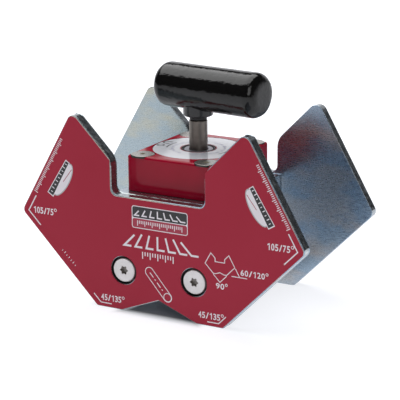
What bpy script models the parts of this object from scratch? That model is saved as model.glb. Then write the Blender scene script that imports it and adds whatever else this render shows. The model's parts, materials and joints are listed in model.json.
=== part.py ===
"""Switchable welding magnet holder: two steel angle plates bolted to a pole body, with a T-handle switch.

The upper of two stacked disc magnets is turned half a turn by the handle, which switches the pull of
the plates on and off. Origin: middle of the footprint, on the surface that the plates stand on.
X runs along the plates' width, Y through them from front to back, Z up.
"""

import math

import bmesh
import bpy
from mathutils import Matrix, Vector

MM = 0.001
GAP = 0.3  # clearance between pieces that touch, in millimetres like every length below

# Angle plates, seen from the front
HALF_WIDTH = 100.0
SIDE_CORNER_Z = 55.0
PEAK_X = 60.5
NOTCH_HALF = 32.5
NOTCH_FLOOR_Z = 73.7
VEE_HALF = 26.5
VEE_TOP_Z = 10.3
UPPER_EDGE = math.radians(60)
OUTER_FACE_Y = 50.5
INNER_FACE_Y = 43.3
LABEL_THICK = 0.3
LABEL_INSET = 0.8
PLATE_EDGE_ROUND = 0.5
PLATE_RADII = {"foot": 3.0, "side": 4.5, "peak": 5.0, "shoulder": 12.0, "notch": 5.0, "vee": 1.5}
LABEL_RADII = {"foot": 1.0, "side": 3.7, "peak": 4.2, "shoulder": 1.5, "notch": 4.5, "vee": 0.8}

# Plate screws
PLATE_SCREW_X = 24.85
PLATE_SCREW_Z = 26.3
PLATE_SCREW_SINK_R = 9.0
PLATE_SCREW_SINK_DEEP = 3.6
PLATE_SCREW_HEAD_R = 7.75
PLATE_SCREW_HEAD_THICK = 3.0
PLATE_SCREW_SHANK_R = 4.0
PLATE_SCREW_REACH = 22.0
PLATE_SCREW_SOCKET_R = 2.9
PLATE_SCREW_SOCKET_DEEP = 2.2
PLATE_SCREW_HOLE_DEEP = 16.5  # in the pole housing

# Pole housing and the magnets in its bore
POLE_HALF_X = 35.7
POLE_BOTTOM_Z = 12.5
POLE_TOP_Z = 73.0
POLE_ROUND = 1.6
BORE_R = 32.0
BORE_FLOOR_Z = 18.5
MAGNET_R = 31.5
LOWER_MAGNET_THICK = 23.0
SEPARATOR_THICK = 1.0
UPPER_MAGNET_THICK = 21.0

# Drive cap on the upper magnet
CAP_R = 31.0
CAP_THICK = 6.8
CAP_SQUARE_HALF = 4.0
DRIVE_PIN_R = 2.5
DRIVE_PIN_AT = 27.0
DRIVE_PIN_INTO_MAGNET = 6.0
DRIVE_PIN_CEILING = 1.6  # thickness of the cap above its pin holes
STOP_PIN_R = 2.2
STOP_PIN_AT = 20.0
STOP_TRACK_HALF = 2.7
STOP_TRACK_DEEP = 4.0
RACE_AT = 13.5
RACE_HALF = 2.2
RACE_DEEP = 1.3
BALL_R = 3.0
WASHER_INNER_R = 24.0
WASHER_OUTER_R = 30.0

# Top housing, the block that stands on the pole housing
BLOCK_HALF_X = 30.5
BLOCK_HALF_Y = 35.5
BLOCK_BOTTOM_Z = 73.3
BLOCK_TOP_Z = 95.7
BLOCK_ROUND = 1.7
TOP_SCREW_X = 22.5
TOP_SCREW_Y = 29.4
TOP_SCREW_HEAD_R = 7.3
TOP_SCREW_SINK_R = 7.7
TOP_SCREW_SINK_DEEP = 2.7
TOP_SCREW_SHANK_R = 3.0
TOP_SCREW_TIP_Z = 55.0
TOP_SCREW_SOCKET_R = 2.0
TOP_SCREW_SOCKET_DEEP = 1.6
BALL_HOLE_TOP_Z = 89.7
STOP_PIN_TOP_Z = 82.3
LABEL_RECESS_R = 28.8
LABEL_RECESS_DEEP = 0.6
TOP_LABEL_R = 28.4
TOP_LABEL_HOLE_R = 11.0

# Stem bearing
BUSH_R = 8.2
BUSH_FLANGE_R = 9.2
BUSH_FLANGE_THICK = 2.4
BUSH_BOTTOM_Z = 77.8
SEAL_OUTER_R = 10.4
SEAL_INNER_R = 9.5
BEARING_SEAT_R = 10.7
BEARING_SEAT_DEEP = 3.0

# Stem and handle
STEM_R = 5.75
STEM_FLANGE_R = 7.8
STEM_FLANGE_THICK = 3.8
STEM_SHOULDER_Z = 113.8
STEM_THREAD_R = 4.0
STEM_THREAD_TOP_Z = 137.95
SPACER_R = 5.4
COLLAR_R = 9.4
COLLAR_BOTTOM_Z = 116.5
HANDLE_AXIS_Z = 133.95
GRIP_R = 14.0
GRIP_LENGTH = 75.9
GRIP_OFFSET = 10.8
GRIP_END_ROUND = 6.6
GRIP_WALL = 4.6
COLLAR_TOP_Z = 127.95
CORE_END_ROUND = 2.0
REST_ANGLE = math.radians(-6.2)  # the long end of the handle at its first stop

# Sides of large, middling and small round pieces
FINE = 40
ROUND = 24
SMALL = 12
COARSE_ARC = math.radians(30)
CORNER_MARGIN = 0.6  # upright corners are rounder than the edges that run into them


def clear_scene():
    for obj in list(bpy.data.objects):
        bpy.data.objects.remove(obj, do_unlink=True)


def material(name, color, roughness, metallic=0.0):
    mat = bpy.data.materials.new(name)
    mat.use_nodes = True
    shader = mat.node_tree.nodes["Principled BSDF"]
    shader.inputs["Base Color"].default_value = (*color, 1.0)
    shader.inputs["Roughness"].default_value = roughness
    shader.inputs["Metallic"].default_value = metallic
    return mat


def new_object(name, bm, mat=None):
    bmesh.ops.recalc_face_normals(bm, faces=bm.faces)
    mesh = bpy.data.meshes.new(name)
    bm.to_mesh(mesh)
    bm.free()
    obj = bpy.data.objects.new(name, mesh)
    bpy.context.scene.collection.objects.link(obj)
    if mat:
        mesh.materials.append(mat)
    mesh.shade_smooth()
    mesh.set_sharp_from_angle(angle=math.radians(30))
    return obj


def helper(obj):
    """Marks a cutter or another guide, which isn't a piece of the holder."""
    obj.hide_render = True
    obj.display_type = "WIRE"
    return obj


def combine(obj, other, operation="DIFFERENCE"):
    modifier = obj.modifiers.new(f"{operation.lower()}_{other.name}", "BOOLEAN")
    modifier.operation = operation
    modifier.object = other
    return obj


def rounded_outline(corners, arc_step=math.radians(15)):
    """Closed outline through (x, z, radius) corners, each turned on an arc of its radius."""
    outline = []
    for i, (x, z, radius) in enumerate(corners):
        here = Vector((x, z))
        before = (Vector(corners[i - 1][:2]) - here).normalized()
        after = (Vector(corners[(i + 1) % len(corners)][:2]) - here).normalized()
        if radius <= 0:
            outline.append(here)
            continue
        half = math.acos(max(-1.0, min(1.0, before.dot(after)))) / 2
        centre = here + (before + after).normalized() * radius / math.sin(half)
        start = here + before * radius / math.tan(half) - centre
        turn = math.pi - 2 * half
        onward = after - before
        side = math.copysign(1.0, start.x * onward.y - start.y * onward.x)
        steps = max(2, round(turn / arc_step))
        for k in range(steps + 1):
            outline.append(centre + Matrix.Rotation(side * turn * k / steps, 2) @ start)
    return outline


def box_corners(half_x, half_y, radius):
    signs = ((-1, -1), (1, -1), (1, 1), (-1, 1))
    return [(sx * half_x, sy * half_y, radius) for sx, sy in signs]


def prism(name, outline, low, high, mat=None, along="Y"):
    """Straight extrusion of an outline: in X and Z along Y, or in X and Y along Z."""
    bm = bmesh.new()

    def ring(level):
        if along == "Y":
            return [bm.verts.new((u * MM, level * MM, v * MM)) for u, v in outline]
        return [bm.verts.new((u * MM, v * MM, level * MM)) for u, v in outline]

    near, far = ring(low), ring(high)
    bm.faces.new(near)
    bm.faces.new(reversed(far))
    for i in range(len(outline)):
        j = (i + 1) % len(outline)
        bm.faces.new((near[i], far[i], far[j], near[j]))
    return new_object(name, bm, mat)


def turned(name, profile, mat=None, segments=ROUND, centre=(0.0, 0.0), tube=False):
    """Profile of (radius, height) points turned about a vertical axis.

    An open profile is closed by a flat face at each end, and a tube's profile is a closed loop.
    """
    bm = bmesh.new()
    rows = []
    for radius, height in profile:
        row = []
        for k in range(segments):
            angle = math.tau * k / segments
            x = centre[0] + radius * math.cos(angle)
            y = centre[1] + radius * math.sin(angle)
            row.append(bm.verts.new((x * MM, y * MM, height * MM)))
        rows.append(row)
    pairs = list(zip(rows, rows[1:]))
    if tube:
        pairs.append((rows[-1], rows[0]))
    else:
        bm.faces.new(rows[0])
        bm.faces.new(rows[-1])
    for lower, upper in pairs:
        for k in range(segments):
            j = (k + 1) % segments
            bm.faces.new((lower[k], lower[j], upper[j], upper[k]))
    return new_object(name, bm, mat)


def quarter_arc(centre_r, centre_z, radius, start, steps=6):
    """Points of a quarter circle in (radius, height), counter-clockwise from the start angle in degrees."""
    points = []
    for k in range(steps + 1):
        angle = math.radians(start + 90 * k / steps)
        points.append((centre_r + radius * math.cos(angle), centre_z + radius * math.sin(angle)))
    return points


def disc_profile(radius, low, high, chamfer=0.4):
    return [
        (radius - chamfer, low),
        (radius, low + chamfer),
        (radius, high - chamfer),
        (radius - chamfer, high),
    ]


def drill(name, radius, low, high, centre=(0.0, 0.0), segments=SMALL):
    profile = [(radius, low), (radius, high)]
    return helper(turned(name, profile, None, segments, centre))


def edge_bevel(obj, width, segments=2):
    bevel = obj.modifiers.new("edge_round", "BEVEL")
    bevel.width = width * MM
    bevel.segments = segments
    bevel.limit_method = "ANGLE"
    bevel.angle_limit = math.radians(40)
    return obj


def lay_along_y(obj, x, z, face_y):
    """Turns a piece made on the Z axis so that its +Z points out of the plate at face_y."""
    outward = math.copysign(1.0, face_y)
    tilt = Matrix.Rotation(-outward * math.pi / 2, 4, "X")
    obj.matrix_world = Matrix.Translation(Vector((x, face_y, z)) * MM) @ tilt
    return obj


def plate_corners(radii):
    """Corners (x, z, radius) of the plate outline, counter-clockwise from the top of the vee."""
    peak_z = SIDE_CORNER_Z + (HALF_WIDTH - PEAK_X) * math.tan(UPPER_EDGE)
    right_half = [
        (VEE_HALF, 0.0, radii["vee"]),
        (HALF_WIDTH - SIDE_CORNER_Z, 0.0, radii["foot"]),
        (HALF_WIDTH, SIDE_CORNER_Z, radii["side"]),
        (PEAK_X, peak_z, radii["peak"]),
        (NOTCH_HALF, peak_z - (PEAK_X - NOTCH_HALF), radii["shoulder"]),
        (NOTCH_HALF, NOTCH_FLOOR_Z, radii["notch"]),
    ]
    left_half = [(-x, z, radius) for x, z, radius in reversed(right_half)]
    return [(0.0, VEE_TOP_Z, radii["vee"]), *right_half, *left_half]


def drawn_in(corners, inset):
    """The same counter-clockwise corners with every side moved inwards."""
    moved = []
    for i, (x, z, radius) in enumerate(corners):
        here = Vector((x, z))
        arrive = (here - Vector(corners[i - 1][:2])).normalized()
        leave = (Vector(corners[(i + 1) % len(corners)][:2]) - here).normalized()
        first, second = Vector((-arrive.y, arrive.x)), Vector((-leave.y, leave.x))
        here += (first + second) * inset / (1 + first.dot(second))
        moved.append((here.x, here.y, radius))
    return moved


def make_plate(name, front, mat):
    sign = -1.0 if front else 1.0
    outer = sign * (OUTER_FACE_Y - LABEL_THICK - GAP)
    inner = sign * INNER_FACE_Y
    outline = rounded_outline(plate_corners(PLATE_RADII))
    plate = edge_bevel(prism(name, outline, outer, inner, mat), PLATE_EDGE_ROUND)
    for side in (-1, 1):
        thick = abs(outer - inner)
        profile = [
            (PLATE_SCREW_SHANK_R + GAP, -thick - 1),
            (PLATE_SCREW_SHANK_R + GAP, -PLATE_SCREW_SINK_DEEP),
            (PLATE_SCREW_SINK_R, -PLATE_SCREW_SINK_DEEP),
            (PLATE_SCREW_SINK_R, 1),
        ]
        cutter = helper(turned(f"{name}_cutter_{side}", profile, None, ROUND))
        lay_along_y(cutter, side * PLATE_SCREW_X, PLATE_SCREW_Z, outer)
        combine(plate, cutter)
    return plate


def make_plate_label(name, front, mat):
    sign = -1.0 if front else 1.0
    outline = rounded_outline(drawn_in(plate_corners(LABEL_RADII), LABEL_INSET))
    face = sign * OUTER_FACE_Y
    label = prism(name, outline, face, face - sign * LABEL_THICK, mat)
    for side in (-1, 1):
        cutter = drill(f"{name}_cutter_{side}", PLATE_SCREW_SINK_R + 0.25, -1, 1, segments=ROUND)
        lay_along_y(cutter, side * PLATE_SCREW_X, PLATE_SCREW_Z, face)
        combine(label, cutter)
    return label


def socket_cutter(name, radius, depth):
    """Six-lobed driver socket, sunk from height 0."""
    lobes = []
    for k in range(24):
        angle = math.tau * k / 24
        reach = radius * (0.88 + 0.12 * math.cos(6 * angle))
        lobes.append((reach * math.cos(angle), reach * math.sin(angle)))
    return helper(prism(name, lobes, -depth, 1, None, along="Z"))


def make_plate_screw(name, x, front, mat):
    """Flat-headed screw. Its head's face is at height 0, and its shank hangs down."""
    sign = -1.0 if front else 1.0
    profile = [
        (PLATE_SCREW_SHANK_R - 0.8, -PLATE_SCREW_REACH),
        (PLATE_SCREW_SHANK_R, -PLATE_SCREW_REACH + 0.8),
        (PLATE_SCREW_SHANK_R, -PLATE_SCREW_HEAD_THICK),
        (PLATE_SCREW_HEAD_R, -PLATE_SCREW_HEAD_THICK),
        (PLATE_SCREW_HEAD_R, -0.7),
        (PLATE_SCREW_HEAD_R - 0.25, -0.3),
        (PLATE_SCREW_HEAD_R - 0.8, 0),
    ]
    screw = turned(name, profile, mat)
    socket = socket_cutter(f"{name}_socket", PLATE_SCREW_SOCKET_R, PLATE_SCREW_SOCKET_DEEP)
    face = sign * (OUTER_FACE_Y - LABEL_THICK - GAP)
    combine(screw, socket)
    for piece in (screw, socket):
        lay_along_y(piece, x, PLATE_SCREW_Z, face)
    return screw


def make_pole_housing(mat):
    """One-piece steel body: thick poles front and back, thin walls beside the bore."""
    half_y = INNER_FACE_Y - GAP
    outline = rounded_outline(box_corners(POLE_HALF_X, half_y, POLE_ROUND + CORNER_MARGIN), COARSE_ARC)
    body = prism("pole_housing", outline, POLE_BOTTOM_Z, POLE_TOP_Z, mat, along="Z")
    edge_bevel(body, POLE_ROUND, 3)
    combine(body, drill("pole_bore", BORE_R, BORE_FLOOR_Z, POLE_TOP_Z + 1, segments=FINE))
    for x, y in top_screw_places():
        hole = drill(
            f"pole_hole_{x:.0f}_{y:.0f}",
            TOP_SCREW_SHANK_R + GAP,
            TOP_SCREW_TIP_Z - 1,
            POLE_TOP_Z + 1,
            (x, y),
        )
        combine(body, hole)
    for side_x in (-1, 1):
        for side_y in (-1, 1):
            name = f"pole_side_hole_{side_x}_{side_y}"
            hole = drill(name, PLATE_SCREW_SHANK_R + GAP, -PLATE_SCREW_HOLE_DEEP, 1)
            lay_along_y(hole, side_x * PLATE_SCREW_X, PLATE_SCREW_Z, side_y * half_y)
            combine(body, hole)
    return body


def top_screw_places():
    return [(x, y) for y in (-TOP_SCREW_Y, TOP_SCREW_Y) for x in (-TOP_SCREW_X, TOP_SCREW_X)]


def magnet_levels():
    """Heights of the stack in the bore: (low, high) of lower magnet, separator, upper magnet and cap."""
    levels = []
    low = BORE_FLOOR_Z + GAP
    for thick in (LOWER_MAGNET_THICK, SEPARATOR_THICK, UPPER_MAGNET_THICK, CAP_THICK):
        levels.append((low, low + thick))
        low += thick + GAP
    return levels


def drive_pin_places():
    return [(-DRIVE_PIN_AT, 0.0), (DRIVE_PIN_AT, 0.0)]


def make_magnet_stack(magnet_mat, brass, rotor_axis):
    lower, separator, upper, _cap = magnet_levels()
    turned("lower_magnet", disc_profile(MAGNET_R, *lower, 0.6), magnet_mat, FINE)
    turned("separator_disc", disc_profile(MAGNET_R, *separator, 0.2), brass, FINE)
    rotor = turned("upper_magnet", disc_profile(MAGNET_R, *upper, 0.6), magnet_mat, FINE)
    rotor.parent = rotor_axis
    for i, (x, y) in enumerate(drive_pin_places()):
        floor = upper[1] - DRIVE_PIN_INTO_MAGNET - GAP
        hole = drill(f"magnet_pin_hole_{i}", DRIVE_PIN_R + GAP, floor, upper[1] + 1, (x, y))
        hole.parent = rotor_axis
        combine(rotor, hole)
    return rotor


def make_stop_track(level):
    """Half-turn groove in the cap's top, which the stop pin runs in, with room for the pin at both ends."""
    inner, outer = STOP_PIN_AT - STOP_TRACK_HALF, STOP_PIN_AT + STOP_TRACK_HALF
    reach = math.pi / 2 + 1.03 * STOP_TRACK_HALF / STOP_PIN_AT
    steps = 20
    angles = [-reach + 2 * reach * k / steps for k in range(steps + 1)]
    outline = [(outer * math.cos(a), outer * math.sin(a)) for a in angles]
    outline += [(inner * math.cos(a), inner * math.sin(a)) for a in reversed(angles)]
    return helper(prism("stop_track", outline, level - STOP_TRACK_DEEP, level + 1, None, along="Z"))


def make_drive_cap(mat, rotor_axis):
    """Cap that turns the upper magnet: square socket, pin holes below, stop track and ball race above."""
    low, high = magnet_levels()[-1]
    ceiling = high - DRIVE_PIN_CEILING
    profile = [
        (CAP_R - 0.5, low),
        (CAP_R, low + 0.5),
        (CAP_R, high - 0.5),
        (CAP_R - 0.5, high),
        (RACE_AT + RACE_HALF, high),
        (RACE_AT + RACE_HALF * 0.6, high - RACE_DEEP * 0.8),
        (RACE_AT, high - RACE_DEEP),
        (RACE_AT - RACE_HALF * 0.6, high - RACE_DEEP * 0.8),
        (RACE_AT - RACE_HALF, high),
    ]
    cap = turned("drive_cap", profile, mat, FINE)
    half = CAP_SQUARE_HALF + GAP
    square = [(-half, -half), (half, -half), (half, half), (-half, half)]
    cutters = [
        helper(prism("cap_square", square, low - 1, high + 1, None, along="Z")),
        make_stop_track(high),
    ]
    for i, (x, y) in enumerate(drive_pin_places()):
        cutters.append(drill(f"cap_pin_hole_{i}", DRIVE_PIN_R + GAP, low - 1, ceiling, (x, y)))
    for cutter in cutters:
        combine(cap, cutter)
    for obj in (cap, *cutters):
        obj.parent = rotor_axis


def make_drive_pins(mat, rotor_axis):
    upper, cap = magnet_levels()[2:]
    low = upper[1] - DRIVE_PIN_INTO_MAGNET
    high = cap[1] - DRIVE_PIN_CEILING - GAP
    for i, (x, y) in enumerate(drive_pin_places()):
        profile = disc_profile(DRIVE_PIN_R, low, high, 0.5)
        pin = turned(f"drive_pin_{'left' if i == 0 else 'right'}", profile, mat, SMALL, (x, y))
        pin.parent = rotor_axis


def make_thrust_washer(mat):
    low, high = magnet_levels()[-1][1] + GAP, BLOCK_BOTTOM_Z - GAP
    profile = [(WASHER_INNER_R, low), (WASHER_OUTER_R, low), (WASHER_OUTER_R, high), (WASHER_INNER_R, high)]
    turned("thrust_washer", profile, mat, ROUND, tube=True)


def make_top_housing(mat):
    """Painted block over the bore. Its screw recesses break through its front and back edges."""
    corner_r = BLOCK_ROUND + CORNER_MARGIN
    outline = rounded_outline(box_corners(BLOCK_HALF_X, BLOCK_HALF_Y, corner_r), COARSE_ARC)
    block = prism("top_housing", outline, BLOCK_BOTTOM_Z, BLOCK_TOP_Z, mat, along="Z")
    edge_bevel(block, BLOCK_ROUND, 3)
    above, below = BLOCK_TOP_Z + 1, BLOCK_BOTTOM_Z - 1
    seat_z = BLOCK_TOP_Z - BEARING_SEAT_DEEP
    recess_z = BLOCK_TOP_Z - LABEL_RECESS_DEEP
    bore_profile = [
        (BUSH_R + GAP, below),
        (BUSH_R + GAP, seat_z),
        (BEARING_SEAT_R, seat_z),
        (BEARING_SEAT_R, recess_z),
        (LABEL_RECESS_R, recess_z),
        (LABEL_RECESS_R, above),
    ]
    combine(block, helper(turned("block_bore", bore_profile, None, FINE)))
    for x, y in top_screw_places():
        shelf = BLOCK_TOP_Z - TOP_SCREW_SINK_DEEP
        profile = [
            (TOP_SCREW_SHANK_R + GAP, below),
            (TOP_SCREW_SHANK_R + GAP, shelf),
            (TOP_SCREW_SINK_R, shelf),
            (TOP_SCREW_SINK_R, above),
        ]
        combine(block, helper(turned(f"block_hole_{x:.0f}_{y:.0f}", profile, None, ROUND, (x, y))))
    combine(block, drill("block_ball_hole", BALL_R + GAP, below, BALL_HOLE_TOP_Z, ball_place()))
    combine(block, drill("block_pin_hole", STOP_PIN_R + GAP, below, STOP_PIN_TOP_Z + GAP, stop_pin_place()))
    return block


def ball_place():
    angle = REST_ANGLE + math.pi
    return (RACE_AT * math.cos(angle), RACE_AT * math.sin(angle))


def ball_centre_z():
    return BLOCK_BOTTOM_Z + 0.2


def stop_pin_place():
    angle = REST_ANGLE + math.pi / 2
    return (STOP_PIN_AT * math.cos(angle), STOP_PIN_AT * math.sin(angle))


def make_top_screw(name, place, mat):
    """Low flat head with a driver socket, level with the top of the block."""
    x, y = place
    face = BLOCK_TOP_Z + 0.1
    under = BLOCK_TOP_Z - TOP_SCREW_SINK_DEEP + GAP
    profile = [
        (TOP_SCREW_SHANK_R - 0.6, TOP_SCREW_TIP_Z),
        (TOP_SCREW_SHANK_R, TOP_SCREW_TIP_Z + 0.6),
        (TOP_SCREW_SHANK_R, under),
        (TOP_SCREW_HEAD_R, under),
        (TOP_SCREW_HEAD_R, face - 0.5),
        (TOP_SCREW_HEAD_R - 0.2, face - 0.15),
        (TOP_SCREW_HEAD_R - 0.6, face),
    ]
    screw = turned(name, profile, mat, ROUND, place)
    socket = socket_cutter(f"{name}_socket", TOP_SCREW_SOCKET_R, TOP_SCREW_SOCKET_DEEP)
    socket.location = Vector((x, y, face)) * MM
    return combine(screw, socket)


def make_stem_bearing(bush_mat, seal_mat, label_mat):
    seat = BLOCK_TOP_Z - BEARING_SEAT_DEEP + GAP
    flange_top = seat + BUSH_FLANGE_THICK
    inner = STEM_R + GAP
    bush = [
        (inner, BUSH_BOTTOM_Z),
        (BUSH_R, BUSH_BOTTOM_Z),
        (BUSH_R, seat),
        (BUSH_FLANGE_R, seat),
        (BUSH_FLANGE_R, flange_top - 0.3),
        (BUSH_FLANGE_R - 0.3, flange_top),
        (inner + 0.3, flange_top),
        (inner, flange_top - 0.3),
    ]
    turned("stem_bush", bush, bush_mat, ROUND, tube=True)
    seal_top = flange_top + 0.2
    seal = [(SEAL_INNER_R, seat), (SEAL_OUTER_R, seat), (SEAL_OUTER_R, seal_top), (SEAL_INNER_R, seal_top)]
    turned("dust_seal", seal, seal_mat, ROUND, tube=True)
    low = BLOCK_TOP_Z - LABEL_RECESS_DEEP + 0.25
    high = low + 0.3
    label = [(TOP_LABEL_HOLE_R, low), (TOP_LABEL_R, low), (TOP_LABEL_R, high), (TOP_LABEL_HOLE_R, high)]
    turned("top_label", label, label_mat, FINE, tube=True)


def make_stop_and_detent(steel):
    cap_top = magnet_levels()[-1][1]
    low = cap_top - STOP_TRACK_DEEP + 0.6
    turned("stop_pin", disc_profile(STOP_PIN_R, low, STOP_PIN_TOP_Z, 0.4), steel, SMALL, stop_pin_place())
    bm = bmesh.new()
    bmesh.ops.create_uvsphere(bm, u_segments=16, v_segments=8, radius=BALL_R * MM)
    ball = new_object("detent_ball", bm, steel)
    ball.location = Vector((*ball_place(), ball_centre_z())) * MM


def make_detent_spring(steel):
    """Closed helix of round wire over the ball."""
    wire_r, coil_r, turns, per_turn = 0.45, 2.3, 6, 10
    low = ball_centre_z() + BALL_R + GAP + wire_r
    high = BALL_HOLE_TOP_Z - GAP - wire_r
    curve = bpy.data.curves.new("detent_spring", "CURVE")
    curve.dimensions = "3D"
    curve.bevel_depth = wire_r * MM
    curve.bevel_resolution = 0
    curve.use_fill_caps = True
    count = turns * per_turn + 1
    spline = curve.splines.new("POLY")
    spline.points.add(count - 1)
    x, y = ball_place()
    for k in range(count):
        angle = math.tau * k / per_turn
        height = low + (high - low) * k / (count - 1)
        place = Vector((x + coil_r * math.cos(angle), y + coil_r * math.sin(angle), height)) * MM
        spline.points[k].co = (*place, 1.0)
    curve.materials.append(steel)
    bpy.context.scene.collection.objects.link(bpy.data.objects.new("detent_spring", curve))


def make_stem(mat, rotor_axis):
    """Stem from the cap's square socket, through the bush, to the thread in the handle core."""
    cap_low, cap_high = magnet_levels()[-1]
    flange_low = BLOCK_BOTTOM_Z + GAP
    flange_high = flange_low + STEM_FLANGE_THICK
    profile = [
        (STEM_R, cap_high + 0.5),
        (STEM_R, flange_low),
        (STEM_FLANGE_R, flange_low),
        (STEM_FLANGE_R, flange_high),
        (STEM_R, flange_high),
        (STEM_R, STEM_SHOULDER_Z - 0.5),
        (STEM_R - 0.4, STEM_SHOULDER_Z),
        (STEM_THREAD_R, STEM_SHOULDER_Z),
        (STEM_THREAD_R, STEM_THREAD_TOP_Z - 0.6),
        (STEM_THREAD_R - 0.6, STEM_THREAD_TOP_Z),
    ]
    stem = turned("handle_stem", profile, mat)
    half = CAP_SQUARE_HALF
    square = [(-half, -half), (half, -half), (half, half), (-half, half)]
    end = helper(prism("stem_square", square, cap_low + 0.6, cap_high + 2.0, None, along="Z"))
    combine(stem, end, "UNION")
    stem.parent = rotor_axis
    end.parent = rotor_axis


def lay_along_handle(obj, rotor_axis):
    """Turns a piece made on the Z axis so that it lies along the handle, at the handle's height."""
    obj.parent = rotor_axis
    turn = Matrix.Rotation(math.pi / 2, 4, "Y")
    obj.matrix_local = Matrix.Translation(Vector((GRIP_OFFSET, 0, HANDLE_AXIS_Z)) * MM) @ turn
    return obj


def bar_profile(radius, length, end_round, steps):
    """Half outline of a round bar about its middle, with rounded ends."""
    half = length / 2
    lower = quarter_arc(radius - end_round, -half + end_round, end_round, -90, steps)
    upper = quarter_arc(radius - end_round, half - end_round, end_round, 0, steps)
    return [*lower, *upper]


def make_handle(core_mat, grip_mat, collar_mat, spacer_mat, rotor_axis):
    """Cross bar in a dipped grip, longer on one side of the stem than on the other."""
    thread_hole = drill("thread_hole", STEM_THREAD_R + GAP, STEM_SHOULDER_Z, STEM_THREAD_TOP_Z + GAP)
    thread_hole.parent = rotor_axis

    core_r, core_length = GRIP_R - GRIP_WALL, GRIP_LENGTH - 2 * GRIP_WALL
    core_profile = bar_profile(core_r - GAP, core_length - 2 * GAP, CORE_END_ROUND, 2)
    core = turned("handle_core", core_profile, core_mat)
    lay_along_handle(core, rotor_axis)
    combine(core, thread_hole)

    grip = turned("handle_grip", bar_profile(GRIP_R, GRIP_LENGTH, GRIP_END_ROUND, 6), grip_mat, FINE)
    hollow = helper(turned("grip_hollow", bar_profile(core_r, core_length, CORE_END_ROUND, 2)))
    for obj in (grip, hollow):
        lay_along_handle(obj, rotor_axis)
    combine(grip, hollow)
    combine(grip, thread_hole)

    inner = STEM_THREAD_R + GAP
    collar_profile = [
        (inner, COLLAR_BOTTOM_Z),
        (COLLAR_R - 1.0, COLLAR_BOTTOM_Z),
        (COLLAR_R - 0.3, COLLAR_BOTTOM_Z + 0.3),
        (COLLAR_R, COLLAR_BOTTOM_Z + 1.0),
        (COLLAR_R, COLLAR_TOP_Z),
        (inner, COLLAR_TOP_Z),
    ]
    collar = turned("handle_collar", collar_profile, collar_mat, ROUND, tube=True)
    collar.parent = rotor_axis
    saddle_profile = [(GRIP_R + GAP, -GRIP_LENGTH / 2), (GRIP_R + GAP, GRIP_LENGTH / 2)]
    saddle = helper(turned("collar_saddle", saddle_profile, None, FINE))
    lay_along_handle(saddle, rotor_axis)
    combine(collar, saddle)

    low, high = STEM_SHOULDER_Z + GAP, COLLAR_BOTTOM_Z - GAP
    ring = [(inner, low), (SPACER_R, low), (SPACER_R, high), (inner, high)]
    turned("stem_spacer", ring, spacer_mat, ROUND, tube=True).parent = rotor_axis


def build():
    clear_scene()
    zinc = material("zinc_steel", (0.55, 0.60, 0.62), 0.35, 1.0)
    red_label = material("plate_label", (0.27, 0.02, 0.04), 0.35)
    screw_steel = material("screw_steel", (0.66, 0.65, 0.64), 0.3, 1.0)
    pole_steel = material("pole_steel", (0.45, 0.50, 0.55), 0.4, 1.0)
    magnet_mat = material("magnet", (0.30, 0.30, 0.31), 0.35, 1.0)
    brass = material("brass", (0.68, 0.50, 0.20), 0.35, 1.0)
    cap_mat = material("cap_alloy", (0.60, 0.61, 0.62), 0.4, 1.0)
    hard_steel = material("hard_steel", (0.50, 0.50, 0.50), 0.2, 1.0)
    washer_mat = material("washer_nylon", (0.80, 0.79, 0.74), 0.5)
    red_paint = material("red_paint", (0.32, 0.004, 0.015), 0.2)
    stem_steel = material("stem_steel", (0.22, 0.20, 0.18), 0.35, 1.0)
    rubber = material("black_rubber", (0.02, 0.02, 0.02), 0.6)
    white_label = material("top_label", (0.72, 0.73, 0.76), 0.2)
    grip_mat = material("dipped_vinyl", (0.006, 0.006, 0.007), 0.12)
    collar_mat = material("black_enamel", (0.012, 0.012, 0.013), 0.25)

    rotor_axis = bpy.data.objects.new("handle_axis", None)
    rotor_axis.rotation_euler = (0, 0, REST_ANGLE)
    bpy.context.scene.collection.objects.link(rotor_axis)

    for end, front in (("front", True), ("back", False)):
        make_plate(f"{end}_angle_plate", front, zinc)
        make_plate_label(f"{end}_label", front, red_label)
        for side, x in (("left", -PLATE_SCREW_X), ("right", PLATE_SCREW_X)):
            make_plate_screw(f"plate_screw_{end}_{side}", x, front, screw_steel)
    make_pole_housing(pole_steel)
    make_magnet_stack(magnet_mat, brass, rotor_axis)
    make_drive_cap(cap_mat, rotor_axis)
    make_drive_pins(hard_steel, rotor_axis)
    make_thrust_washer(washer_mat)
    make_top_housing(red_paint)
    for i, place in enumerate(top_screw_places()):
        make_top_screw(f"top_screw_{i + 1}", place, screw_steel)
    make_stem_bearing(brass, rubber, white_label)
    make_stop_and_detent(hard_steel)
    make_detent_spring(hard_steel)
    make_stem(stem_steel, rotor_axis)
    make_handle(pole_steel, grip_mat, collar_mat, rubber, rotor_axis)


build()
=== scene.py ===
"""Looks of the switchable welding magnet holder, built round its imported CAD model.

Lengths are in millimetres unless a name says otherwise. The labels' prints are generic: angle marks,
scales and pictograms.
"""

import json
import math

import bmesh
import bpy
from mathutils import Matrix, Vector, noise


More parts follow.
